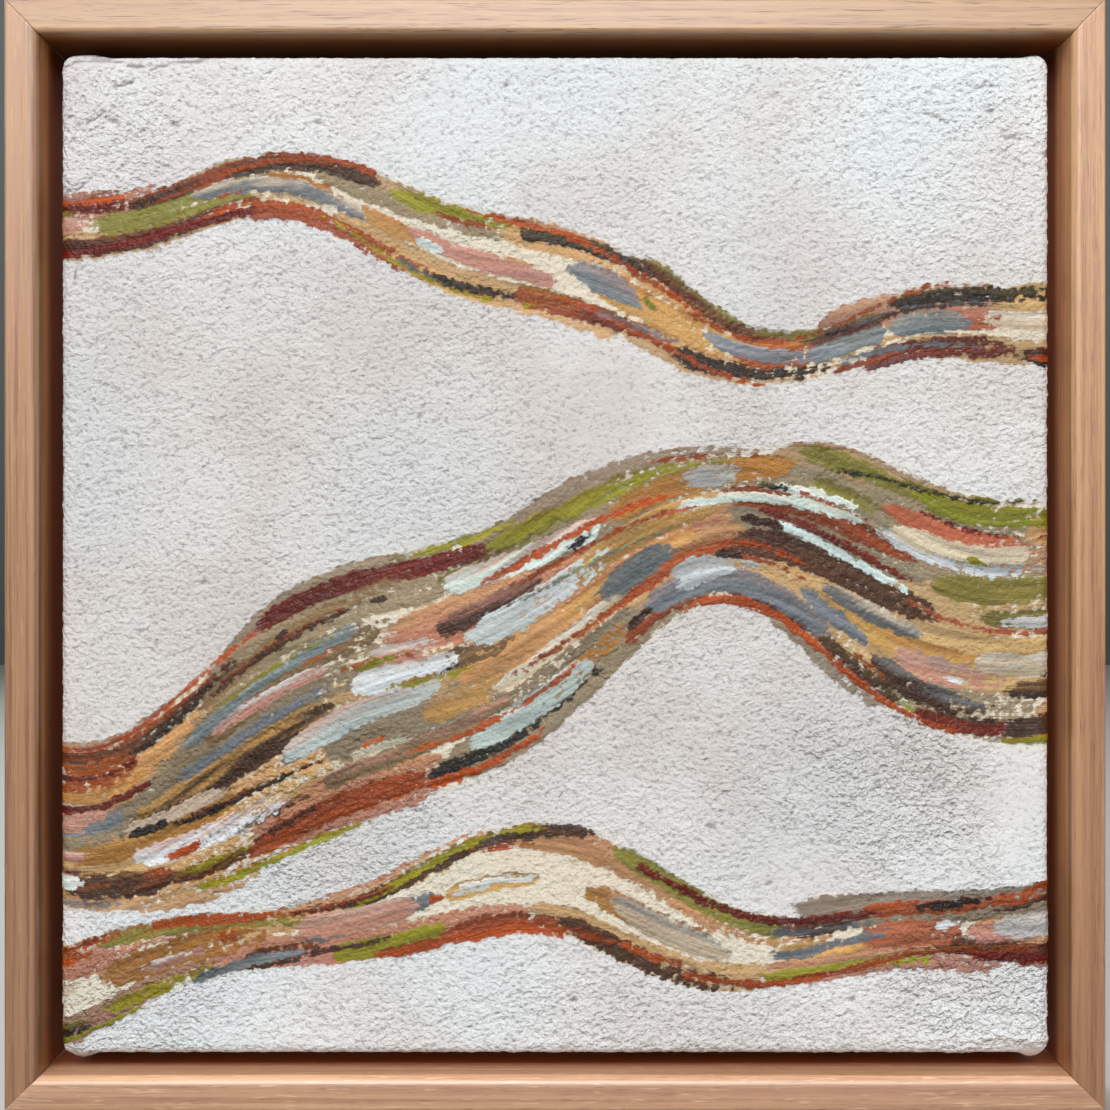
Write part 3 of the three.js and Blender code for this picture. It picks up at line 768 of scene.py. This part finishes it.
def stretched_cloth(primed, raw):
    """The canvas cloth as one thin closed shell: front, sides and the hem turned in behind the bars."""
    reaches = np.concatenate([
        [FRONT_FLAT],
        FRONT_FLAT + FRONT_ARC * np.linspace(0.25, 1, 4),
        SIDE_START + SIDE_FLAT * np.linspace(0.16, 1, 6),
        BACK_START + BACK_ARC * np.linspace(0.33, 1, 3),
        HEM_START + (HEM_END - HEM_START) * np.linspace(0.2, 1, 5),
    ])
    u, v = np.meshgrid(*(lines_over(half, reaches, CLOTH_SPACING) for half in (CORE_WIDTH, CORE_HEIGHT)))
    ragged = 0.8 * smooth_noise(u, v, 11, 81) + 0.35 * smooth_noise(u, v, 4, 82)
    u = np.where(np.abs(u) > CORE_WIDTH + HEM_END - 0.1, u + ragged, u)
    v = np.where(np.abs(v) > CORE_HEIGHT + HEM_END - 0.1, v + ragged, v)
    rows, columns = u.shape
    outer = rows_of(*wrapped(u, v, np.zeros_like(u)))
    inner = rows_of(*wrapped(u, v, np.full_like(u, -CLOTH_THICKNESS)))
    outside = grid_faces(rows, columns)
    inside = grid_faces(rows, columns, rows * columns, True)
    rim = rim_of(rows, columns)
    edge = band_faces(rim, rim + rows * columns)[:, ::-1]
    made = piece("canvas_cloth_stretched", np.concatenate([outer, inner]),
                 np.concatenate([outside, inside, edge]), [primed, raw], sharp=50)
    slots = np.concatenate([np.zeros(len(outside)), np.ones(len(inside) + len(edge))]).astype(np.int32)
    made.data.polygons.foreach_set("material_index", slots)
    return made


def rail_section(arris):
    """The frame's L-shaped section: a wall with a rounded inner arris, and a ledge behind the canvas."""
    return (
        rounded(0, FACE_Y, OUTER_ARRIS, 180, 4)
        + rounded(WALL_THICKNESS, FACE_Y, arris, 270, 10)
        + [(WALL_THICKNESS, LEDGE_Y)]
        + rounded(LEDGE_BREADTH, LEDGE_Y, SMALL_ARRIS, 270, 3)
        + rounded(LEDGE_BREADTH, 0, SMALL_ARRIS, 0, 3)
        + rounded(0, 0, SMALL_ARRIS, 90, 3)
    )


def bar_section():
    """A stretcher bar's section: a rounded bead that holds the cloth off the sloping face."""
    return (
        rounded(0, BAR_FRONT_Y, BAR_ROUND, 180, 6)
        + rounded(BEAD_BREADTH, BAR_FRONT_Y, SMALL_ARRIS, 270, 3, 80)
        + [(BEAD_BREADTH + BEAD_FOOT, BAR_FRONT_Y + BEAD_DROP)]
        + [(BAR_BREADTH - SMALL_ARRIS, BAR_FRONT_Y + BEAD_DROP + BAR_SLOPE_DROP - SMALL_ARRIS)]
        + rounded(BAR_BREADTH, BAR_BACK_Y, 2 * SMALL_ARRIS, 0, 3)
        + [(0, BAR_BACK_Y)]
    )


# Materials

def add_node(kind, inputs, **settings):
    """A shader node with its inputs set to values or joined to other nodes' sockets, in the tree of those."""
    tree = next(value.id_data for value in inputs.values() if isinstance(value, bpy.types.NodeSocket))
    node = tree.nodes.new("ShaderNode" + kind)
    for name, value in settings.items():
        setattr(node, name, value)
    for key, value in inputs.items():
        if isinstance(value, bpy.types.NodeSocket):
            tree.links.new(value, node.inputs[key])
        else:
            node.inputs[key].default_value = value
    return node


def linear(colour):
    """An sRGB colour as linear RGBA."""
    return tuple(c / 12.92 if c <= 0.04045 else ((c + 0.055) / 1.055) ** 2.4 for c in colour) + (1.0,)


def maths(operation, first, second=0.0, third=0.0):
    return add_node("Math", {0: first, 1: second, 2: third}, operation=operation).outputs[0]


def alike(value):
    """A vector or grey with the same value in its three parts."""
    return add_node("CombineXYZ", {"X": value, "Y": value, "Z": value}).outputs[0]


def noise(vector, scale, detail=2.0, roughness=0.5):
    inputs = {"Vector": vector, "Scale": scale, "Detail": detail, "Roughness": roughness}
    return add_node("TexNoise", inputs).outputs["Fac"]


def stretched(vector, scale, location=(0, 0, 0), rotation=(0, 0, 0)):
    inputs = {"Vector": vector, "Scale": scale, "Location": location, "Rotation": rotation}
    return add_node("Mapping", inputs).outputs[0]


def long_noise(vector, scales, detail=2.0, roughness=0.5):
    """Noise with a scale of its own along each axis."""
    return noise(stretched(vector, scales), 1.0, detail, roughness)


def ranged(value, low, high, to_low=0.0, to_high=1.0, kind="SMOOTHSTEP"):
    inputs = {"Value": value, "From Min": low, "From Max": high, "To Min": to_low, "To Max": to_high}
    return add_node("MapRange", inputs, interpolation_type=kind).outputs["Result"]


def blended(share, first, second, how="MIX"):
    """One colour over another by a share."""
    inputs = {0: share, 6: first, 7: second}
    return add_node("Mix", inputs, data_type="RGBA", blend_type=how).outputs[2]


def tinted(tone, tint):
    """A tone multiplied by a tint's three parts."""
    return blended(1.0, tone, (*tint, 1.0), "MULTIPLY")


def over(tone, colour, *span):
    """A tone with a colour over it, by how far a value has come in a range."""
    return blended(ranged(*span), tone, linear(colour))


def bumped(height, strength, distance):
    inputs = {"Height": height, "Strength": strength, "Distance": distance}
    return add_node("Bump", inputs).outputs["Normal"]


def attribute(shader, name, output="Fac"):
    """The values that a piece's points have, for its shader."""
    node = shader.id_data.nodes.new("ShaderNodeAttribute")
    node.attribute_name = name
    return node.outputs[output]


def new_material(name):
    """A material with its shader and the piece's own coordinates."""
    material = bpy.data.materials.new(name)
    material.use_nodes = True
    nodes = material.node_tree.nodes
    return material, nodes["Principled BSDF"], nodes.new("ShaderNodeTexCoord").outputs["Object"]


def shade(shader, colour, roughness, normal=None, **fixed):
    """Joins a material's colour, roughness and normal to its shader, and sets its even values."""
    for name, value in (("Base Color", colour), ("Roughness", roughness), ("Normal", normal)):
        if isinstance(value, bpy.types.NodeSocket):
            shader.id_data.links.new(value, shader.inputs[name])
        elif value is not None:
            shader.inputs[name].default_value = value
    for name, value in fixed.items():
        shader.inputs[name.replace("_", " ")].default_value = value


def along_grain(axis, along, across):
    """Scales of a pattern that is stretched along one axis."""
    return tuple(along if i == axis else across for i in range(3))


Timber = namedtuple(
    "Timber", "low_tint high_tint arris wall shaded deep wander streaks pores pore_length fleck")
# Each rail's tint at the picture's foot and head, which holds painted shade and light as well as its colour
# (the side rails darker towards the foot), its inner arris's tint as painted light above 1 and painted shade
# below, its inner wall's tint as painted light and shade, the depths between which painted shade darkens that
# wall and the painted shade's tint there, how far its grain wanders, how strong its streaks and pores are,
# how long its pores are in mm, and how strong its pale flecks are
TIMBERS = {
    "bottom": Timber(
        low_tint=(1.24, 1.30, 1.32), high_tint=(1.24, 1.30, 1.32), arris=1.7, wall=(1.42, 1.42, 1.42),
        shaded=(8.0, 15.5), deep=(0.42, 0.15, 0.02),
        wander=0.0008, streaks=0.55, pores=0.45, pore_length=6.0, fleck=0.5),
    "right": Timber(
        low_tint=(0.84, 0.75, 0.58), high_tint=(1.60, 1.65, 1.38), arris=1.1, wall=(1.90, 1.85, 1.95),
        shaded=(11.0, 19.0), deep=(0.30, 0.11, 0.01),
        wander=0.0004, streaks=0.75, pores=0.60, pore_length=9.0, fleck=0.15),
    "top": Timber(
        low_tint=(1.19, 1.24, 1.01), high_tint=(1.19, 1.24, 1.01), arris=0.85, wall=(0.93, 0.93, 0.93),
        shaded=(1.0, 9.0), deep=(0.50, 0.26, 0.04),
        wander=0.0045, streaks=0.35, pores=0.95, pore_length=14.0, fleck=0.1),
    "left": Timber(
        low_tint=(0.70, 0.61, 0.46), high_tint=(1.19, 1.13, 0.92), arris=0.85, wall=(1.75, 1.52, 1.20),
        shaded=(5.5, 15.5), deep=(0.38, 0.17, 0.015),
        wander=0.0006, streaks=1.0, pores=0.55, pore_length=20.0, fleck=0.3),
}


def oak(name, axis, offset, timber):
    """Pale pinkish oak with a satin coat, straight streaks and short dark pores along its grain, and painted
    light and shade.
    """
    material, shader, place = new_material(name)
    height = ranged(add_node("SeparateXYZ", {0: place}).outputs["Z"],
                    (MIDDLE_Z - FRAME_HEIGHT / 2) * MM, (MIDDLE_Z + FRAME_HEIGHT / 2) * MM, kind="LINEAR")
    place = stretched(place, (1, 1, 1), (offset, 0.3 * offset, -0.7 * offset))
    sway = maths("SUBTRACT", long_noise(place, along_grain(axis, 14, 60)), 0.5)
    sway = alike(maths("MULTIPLY", sway, timber.wander))
    wandering = add_node("VectorMath", {0: place, 1: sway}).outputs[0]
    broad = long_noise(wandering, along_grain(axis, 5, 330))
    growth = long_noise(wandering, along_grain(axis, 7, 800), 2, 0.6)
    fibre = long_noise(wandering, along_grain(axis, 60, 2600), 2, 0.6)
    fleck = long_noise(place, along_grain(axis, 110, 1500), 1)
    pore = long_noise(wandering, along_grain(axis, 1000 / timber.pore_length, 3600), 1)
    pore = maths("MULTIPLY", ranged(pore, 0.59, 0.69), ranged(growth, 0.32, 0.54))
    pore = maths("MULTIPLY", pore, timber.pores)
    tone = over(linear((0.625, 0.445, 0.345)), (0.675, 0.515, 0.385), broad, 0.32, 0.68)
    tone = over(tone, (0.500, 0.335, 0.235), growth, 0.38, 0.66, 0, timber.streaks)
    tone = over(tone, (0.735, 0.585, 0.460), fibre, 0.3, 0.75, 0, 0.35)
    tone = over(tone, (0.810, 0.670, 0.545), fleck, 0.64, 0.74, 0, timber.fleck)
    tone = blended(pore, tone, linear((0.400, 0.225, 0.140)))
    # Painted shade and light: the tone runs from the foot tint to the head tint, the way the light falls off
    # down the picture
    tint = blended(height, (*timber.low_tint, 1.0), (*timber.high_tint, 1.0))
    tone = blended(1.0, tone, tint, "MULTIPLY")
    depth = attribute(shader, "inside_depth")
    # Painted light and shade: the inner arris and the inner wall are tinted lighter or darker than the face
    arris, wall = tinted(tone, (timber.arris,) * 3), tinted(tone, timber.wall)
    inner = blended(ranged(depth, 2.5, 5.5), arris, wall)
    tone = blended(ranged(depth, 0.05, 0.9), tone, inner)
    # Painted shade that darkens the inner wall deeper in the gap beside the canvas
    tone = blended(ranged(depth, *timber.shaded), tone, tinted(tone, timber.deep))
    relief = maths("MULTIPLY_ADD", fibre, 0.35, maths("MULTIPLY", pore, -1.0))
    shade(shader, tone, ranged(fibre, 0.2, 0.8, 0.40, 0.52, "LINEAR"),
          bumped(relief, 0.35, 0.00012), Coat_Weight=1.0, Coat_Roughness=0.36, Coat_IOR=1.65, IOR=1.45)
    return material


def bare_wood(name, scales, dark, light, line):
    """Bare sawn or planed wood with soft growth lines along the stretched axis."""
    material, shader, place = new_material(name)
    growth = long_noise(place, scales, 3, 0.55)
    fibre = long_noise(place, tuple(6 * s for s in scales), 2, 0.6)
    tone = over(linear(light), dark, growth, 0.3, 0.7)
    tone = over(tone, line, fibre, 0.62, 0.75, 0, 0.5)
    shade(shader, tone, ranged(fibre, 0.2, 0.8, 0.55, 0.75, "LINEAR"),
          bumped(fibre, 0.3, 0.00015), IOR=1.45)
    return material


# How fine the cloth's weave is
WEAVE_SCALE = 480.0


def weave(place):
    """A plain weave's height, from crossing waves in the plane of the canvas."""
    inputs = {"Vector": place, "Scale": WEAVE_SCALE, "Distortion": 0.6, "Detail": 1.0}
    waves = (add_node("TexWave", inputs, bands_direction=direction).outputs["Fac"] for direction in "XZ")
    return maths("MULTIPLY", *waves)


def raw_cotton():
    material, shader, place = new_material("raw_cotton")
    cloth = weave(place)
    slub = long_noise(place, (120, 500, 900))
    tone = over(linear((0.80, 0.74, 0.63)), (0.89, 0.84, 0.74), slub, 0.3, 0.7)
    tone = over(tone, (0.62, 0.56, 0.46), cloth, 0.0, 0.5, 0.4, 0.0)
    shade(shader, tone, 0.9, bumped(cloth, 0.6, 0.0002), Sheen_Weight=0.1, Specular_IOR_Level=0.2)
    return material


def primed_cotton():
    material, shader, place = new_material("primed_cotton")
    smear = noise(place, 160.0, 4, 0.6)
    tone = over(linear((0.80, 0.77, 0.73)), (0.88, 0.86, 0.83), smear, 0.35, 0.65)
    relief = maths("ADD", maths("MULTIPLY", weave(place), 0.5), smear)
    shade(shader, tone, 0.8, bumped(relief, 0.5, 0.0002), Specular_IOR_Level=0.3)
    return material


def bare_ground(shader, place, grain):
    """The pale paste's colour: duller at mid height, painted light at the right, painted shade in hollows and
    dents, warm round paint.
    """
    patchy = noise(place, 26.0, 2, 0.55)
    cool = noise(place, 12.0, 1)
    tone = over(linear((0.842, 0.830, 0.826)), (0.876, 0.876, 0.875), patchy, 0.35, 0.65)
    tone = over(tone, (0.848, 0.871, 0.879), cool, 0.46, 0.64, 0, 0.8)
    # Painted shade in the hollows of the fine stipple
    tone = over(tone, (0.60, 0.59, 0.60), grain, 0.27, 0.42, 0.55, 0.0)
    spot = add_node("SeparateXYZ", {0: place})
    from_middle = maths("ABSOLUTE", maths("SUBTRACT", spot.outputs["Z"], MIDDLE_Z * MM))
    dull = tinted(tone, (0.87, 0.845, 0.825))
    tone = blended(ranged(from_middle, 0.15, 0.05), tone, dull)
    # Painted light that makes the paste paler towards the right
    right_light = tinted(tone, (1.09, 1.10, 1.10))
    tone = blended(ranged(spot.outputs["X"], 0.06, 0.13), tone, right_light)
    # Painted shade in the deep dents, creases and pits
    tone = over(tone, (0.46, 0.44, 0.43), attribute(shader, "paste_dent"), 0.4, 0.95, 0, 0.75)
    around_paint = maths("MULTIPLY_ADD", patchy, 9.0, attribute(shader, "halo_reach"))
    return over(tone, (0.87, 0.80, 0.64), around_paint, 1.5, 7.5, 0, 0.5)


def painted_surface():
    """Pale stippled paste, and over it the coats of brushed paint, each where its level says."""
    material, shader, place = new_material("painted_ground_paint")
    grain = noise(stretched(place, (700, 700, 820), rotation=(0, STIPPLE_TILTS[0], 0)), 1.0, 2, 0.45)
    flow = add_node("CombineXYZ", {
        "X": maths("MULTIPLY", attribute(shader, "flow_along"), 0.055),
        "Y": maths("MULTIPLY", attribute(shader, "flow_across"), 1.9),
    }).outputs[0]
    bristle = noise(flow, 1.0, 2, 0.6)
    tone = bare_ground(shader, place, grain)
    speckle = maths("MULTIPLY_ADD", maths("SUBTRACT", grain, 0.5), 2.2,
                    maths("MULTIPLY", maths("SUBTRACT", bristle, 0.5), 1.6))
    for coat, opacity in COATS.items():
        level = maths("ADD", attribute(shader, "level_" + coat), speckle)
        paint = attribute(shader, "tone_" + coat, "Vector")
        tone = blended(ranged(level, -0.25, 0.3, 0, opacity), tone, paint)
    painted = ranged(attribute(shader, "paint_body"), 0.01, 0.08)
    wash = long_noise(flow, (0.6, 0.22, 1.0), 1)
    streaky = maths("MULTIPLY", ranged(bristle, 0.28, 0.72, 0.84, 1.12, "LINEAR"),
                    ranged(wash, 0.3, 0.7, 0.58, 1.14, "LINEAR"))
    streaked = blended(1.0, tone, alike(streaky), "MULTIPLY")
    tone = blended(painted, tone, streaked)
    rough = maths("MULTIPLY", grain, attribute(shader, "paste_rough"))
    fine = maths("MULTIPLY", rough, ranged(painted, 0.0, 1.0, 1.0, 0.6))
    relief = maths("MULTIPLY_ADD", bristle, maths("MULTIPLY", painted, 0.2), fine)
    shade(shader, tone, attribute(shader, "paint_gloss"), bumped(relief, 1.0, 0.0016),
          Specular_IOR_Level=0.3)
    return material


def zinc_steel():
    material, shader, place = new_material("zinc_steel_bright")
    scratch = long_noise(place, (400, 2500, 6000), 2, 0.6)
    bloom = noise(place, 500.0, 3, 0.6)
    tone = over(linear((0.72, 0.73, 0.74)), (0.84, 0.84, 0.84), bloom, 0.3, 0.7)
    shade(shader, tone, ranged(scratch, 0.2, 0.8, 0.32, 0.52, "LINEAR"),
          bumped(scratch, 0.2, 0.00003), Metallic=1.0)
    return material


def pad_rubber():
    material, shader, place = new_material("pad_rubber_soft")
    haze = noise(place, 900.0, 3, 0.6)
    tone = blended(haze, linear((0.74, 0.73, 0.70)), linear((0.84, 0.83, 0.80)))
    shade(shader, tone, ranged(haze, 0.2, 0.8, 0.4, 0.6, "LINEAR"),
          bumped(haze, 0.2, 0.0001), Subsurface_Weight=0.1, IOR=1.45)
    return material


def dress(words, material, bevel):
    """Gives the CAD nodes with one of the words in their names a material, and eases their edges."""
    for name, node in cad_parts.items():
        if any(word in name for word in words):
            node.data.materials.clear()
            node.data.materials.append(material)
            easing = node.modifiers.new("eased_edges", "BEVEL")
            easing.width = bevel * MM
            easing.segments = 2
            easing.limit_method = "ANGLE"
            easing.harden_normals = False


# The room

Lamp = namedtuple("Lamp", "name bearing lift distance breadth height power")
# The soft lights, with their bearings left (-) or right and their lifts in degrees
LAMPS = [
    Lamp("window", -4, 39, 2.3, 1.7, 0.8, 9.6),
    Lamp("low_window", -2, 19, 2.3, 2.2, 0.7, 3.2),
    Lamp("left_fill", -56, 20, 2.0, 1.9, 1.0, 1.1),
    Lamp("right_fill", 54, 20, 2.0, 2.2, 1.0, 1.3),
    Lamp("behind", 205, 35, 2.2, 1.8, 1.4, 11.0),
]
LAMP_SPREAD = 80

# The camera's lens in mm, and in metres its distance and how far the floor lies under the frame
CAMERA_LENS = 48.46
CAMERA_DISTANCE = 0.483
FLOOR_GAP = 0.0005


def pale_floor():
    """A pale floor just under the frame."""
    reach, level = 1.8, cad_low.z - FLOOR_GAP
    corners = [(-reach, -reach, level), (reach, -reach, level), (reach, reach, level), (-reach, reach, level)]
    mesh = bpy.data.meshes.new("floor")
    mesh.from_pydata(corners, [], [(0, 1, 2, 3)])
    material, shader, _ = new_material("pale_floor")
    shade(shader, linear((0.69, 0.68, 0.67)), 0.8)
    mesh.materials.append(material)
    placed("floor", mesh)


def shine(lamp):
    """A soft light that faces the picture's middle."""
    face = bpy.data.lights.new(lamp.name, "AREA")
    face.shape = "RECTANGLE"
    face.size, face.size_y = lamp.breadth, lamp.height
    face.energy = lamp.power
    face.spread = math.radians(LAMP_SPREAD)
    bearing, lift = math.radians(lamp.bearing), math.radians(lamp.lift)
    level = math.cos(lift)
    toward = Vector((math.sin(bearing) * level, -math.cos(bearing) * level, math.sin(lift)))
    light = placed(lamp.name, face)
    light.location = Vector((0, 0, MIDDLE_Z * MM)) + lamp.distance * toward
    light.rotation_euler = (-toward).to_track_quat("-Z", "Y").to_euler()


def soft_room():
    """Soft light all round, darker from below."""
    world = bpy.data.worlds.new("soft_room")
    world.use_nodes = True
    tree = world.node_tree
    direction = tree.nodes.new("ShaderNodeTexCoord").outputs["Generated"]
    height = add_node("SeparateXYZ", {0: direction}).outputs["Z"]
    room = blended(ranged(height, -0.35, 0.5), (0.02, 0.018, 0.016, 1.0), (0.15, 0.154, 0.158, 1.0))
    tree.links.new(room, tree.nodes["Background"].inputs["Color"])
    bpy.context.scene.world = world
    bpy.context.scene.view_settings.view_transform = "Standard"


def viewer():
    """The camera, square to the picture and level with its middle."""
    camera = bpy.data.cameras.new("viewer")
    camera.sensor_width = 36.0
    camera.lens = CAMERA_LENS
    camera.clip_start, camera.clip_end = 0.01, 20.0
    made = placed("viewer", camera)
    made.location = (0.0, -CAMERA_DISTANCE, MIDDLE_Z * MM)
    made.rotation_euler = (math.radians(90), 0, 0)
    bpy.context.scene.camera = made


# The picture, piece by piece

def grain_axis(side):
    """The axis that a side's wood runs along."""
    return 0 if SIDES[side] % 2 == 0 else 2


def build_frame():
    """The frame's four rails, each from its own timber."""
    for side, timber in TIMBERS.items():
        wood = oak("oak_" + side, grain_axis(side), 1.7 * SIDES[side], timber)
        rail = mitred_rail("oak_rail_" + side, side, rail_section(INNER_ARRISES[side]), FRAME_WIDTH / 2,
                           FRAME_HEIGHT / 2, [wood])
        screw_seats(rail, side)
        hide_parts("frame_rail_" + side)


def build_bars():
    """The stretcher's four bars."""
    bars = []
    for side in SIDES:
        scales = along_grain(grain_axis(side), 8, 420)
        wood = bare_wood("pine_" + side, scales, (0.70, 0.53, 0.34), (0.87, 0.74, 0.54), (0.60, 0.42, 0.26))
        bar = mitred_rail("pine_bar_" + side, side, bar_section(), CANVAS_WIDTH / 2 - BAR_GAP,
                          CANVAS_HEIGHT / 2 - BAR_GAP, [wood], BAR_CORNER_CUT)
        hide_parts("stretcher_bar_" + side)
        bars.append(bar)
    return bars


def build_canvas(bars):
    """The cloth that is stretched over the bars, and the painted ground on it."""
    cloth = stretched_cloth(primed_cotton(), raw_cotton())
    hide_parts("canvas_cloth")
    ground = stretched_ground(painted_surface())
    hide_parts("painted_ground")


def dress_fixings():
    """The keys, screws, staples, hangers and pads, which stay the source's own solids."""
    steel = zinc_steel()
    beech = ((0.74, 0.60, 0.44), (0.86, 0.75, 0.60), (0.60, 0.46, 0.32))
    dress(["corner_key"], bare_wood("beech_key", (300, 300, 900), *beech), 0.25)
    dress(["screw", "staple"], steel, 0.08)
    dress(["hanger_strap", "hanger_ring"], steel, 0.15)
    dress(["bumper"], pad_rubber(), 0.5)


pale_floor()
for lamp in LAMPS:
    shine(lamp)
soft_room()
viewer()
build_frame()
build_canvas(build_bars())
dress_fixings()
